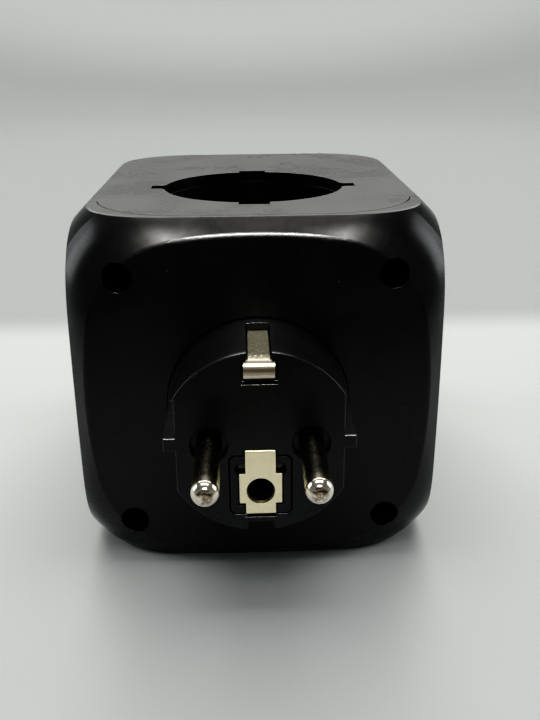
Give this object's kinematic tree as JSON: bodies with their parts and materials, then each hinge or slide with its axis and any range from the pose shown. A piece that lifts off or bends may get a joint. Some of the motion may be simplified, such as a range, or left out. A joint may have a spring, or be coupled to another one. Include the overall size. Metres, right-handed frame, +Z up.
{
  "type": "multi-socket mains adapter",
  "caption": "Cube-shaped mains adapter with an earthed hybrid plug on one face and shuttered earthed sockets on the other faces.",
  "frame": {"origin": "on the plane the adapter rests on, under the middle of its bounding box", "axes": "+Z up, the plug points along -Y, X runs across the two pins"},
  "size_m": [0.076, 0.1336, 0.076],
  "materials": {
    "case_black": "fine textured satin black",
    "clip_nickel": "nickel plate, mottled on the flat",
    "contact_brass": "bare stamped strip",
    "cup_black": "satin black",
    "inner_white": "natural heat-resistant plastic",
    "pin_nickel": "polished nickel plate",
    "plate_nickel": "satin nickel plate",
    "plug_black": "satin black",
    "screw_steel": "zinc plated",
    "shutter_grey": "smooth acetal",
    "spring_steel": "drawn wire",
    "strap_nickel": "nickel plated spring strip"
  },
  "bodies": {
    "case": {"bottom_contact_carrier": "inner_white", "bottom_earth_strap": "strap_nickel", "bottom_live_contact": "contact_brass", "bottom_neutral_contact": "contact_brass", "bottom_shutter_spring": "spring_steel", "bottom_socket_cup": "cup_black", "case_screws": "screw_steel", "earth_frame": "contact_brass", "earth_insert": "plug_black", "earth_tube": "plate_nickel", "far_contact_carrier": "inner_white", "far_earth_strap": "strap_nickel", "far_live_contact": "contact_brass", "far_neutral_contact": "contact_brass", "far_shutter_spring": "spring_steel", "far_socket_cup": "cup_black", "left_contact_carrier": "inner_white", "left_earth_strap": "strap_nickel", "left_live_contact": "contact_brass", "left_neutral_contact": "contact_brass", "left_shutter_spring": "spring_steel", "left_socket_cup": "cup_black", "live_busbar": "contact_brass", "live_pin": "pin_nickel", "lower_earth_clip": "plate_nickel", "neutral_busbar": "contact_brass", "neutral_pin": "pin_nickel", "plug_body": "plug_black", "plug_case": "case_black", "right_contact_carrier": "inner_white", "right_earth_strap": "strap_nickel", "right_live_contact": "contact_brass", "right_neutral_contact": "contact_brass", "right_shutter_spring": "spring_steel", "right_socket_cup": "cup_black", "socket_case": "case_black", "top_contact_carrier": "inner_white", "top_earth_strap": "strap_nickel", "top_live_contact": "contact_brass", "top_neutral_contact": "contact_brass", "top_shutter_spring": "spring_steel", "top_socket_cup": "cup_black", "upper_earth_clip": "clip_nickel"},
    "top_shutter": {"top_shutter": "shutter_grey"},
    "bottom_shutter": {"bottom_shutter": "shutter_grey"},
    "right_shutter": {"right_shutter": "shutter_grey"},
    "left_shutter": {"left_shutter": "shutter_grey"},
    "far_shutter": {"far_shutter": "shutter_grey"}
  },
  "joints": [
    {"name": "top_shutter_slide", "type": "slide", "parent": "case", "child": "top_shutter", "axis": [0, 1, 0], "range_m": [0, 0.006], "stiffness_N_per_m": 60, "springref_m": -0.004, "deforming": ["top_shutter_spring"]},
    {"name": "bottom_shutter_slide", "type": "slide", "parent": "case", "child": "bottom_shutter", "axis": [0, -1, 0], "range_m": [0, 0.006], "stiffness_N_per_m": 60, "springref_m": -0.004, "deforming": ["bottom_shutter_spring"]},
    {"name": "right_shutter_slide", "type": "slide", "parent": "case", "child": "right_shutter", "axis": [0, 0, 1], "range_m": [0, 0.006], "stiffness_N_per_m": 60, "springref_m": -0.004, "deforming": ["right_shutter_spring"]},
    {"name": "left_shutter_slide", "type": "slide", "parent": "case", "child": "left_shutter", "axis": [0, 0, -1], "range_m": [0, 0.006], "stiffness_N_per_m": 60, "springref_m": -0.004, "deforming": ["left_shutter_spring"]},
    {"name": "far_shutter_slide", "type": "slide", "parent": "case", "child": "far_shutter", "axis": [0, 0, -1], "range_m": [0, 0.006], "stiffness_N_per_m": 60, "springref_m": -0.004, "deforming": ["far_shutter_spring"]}
  ]
}
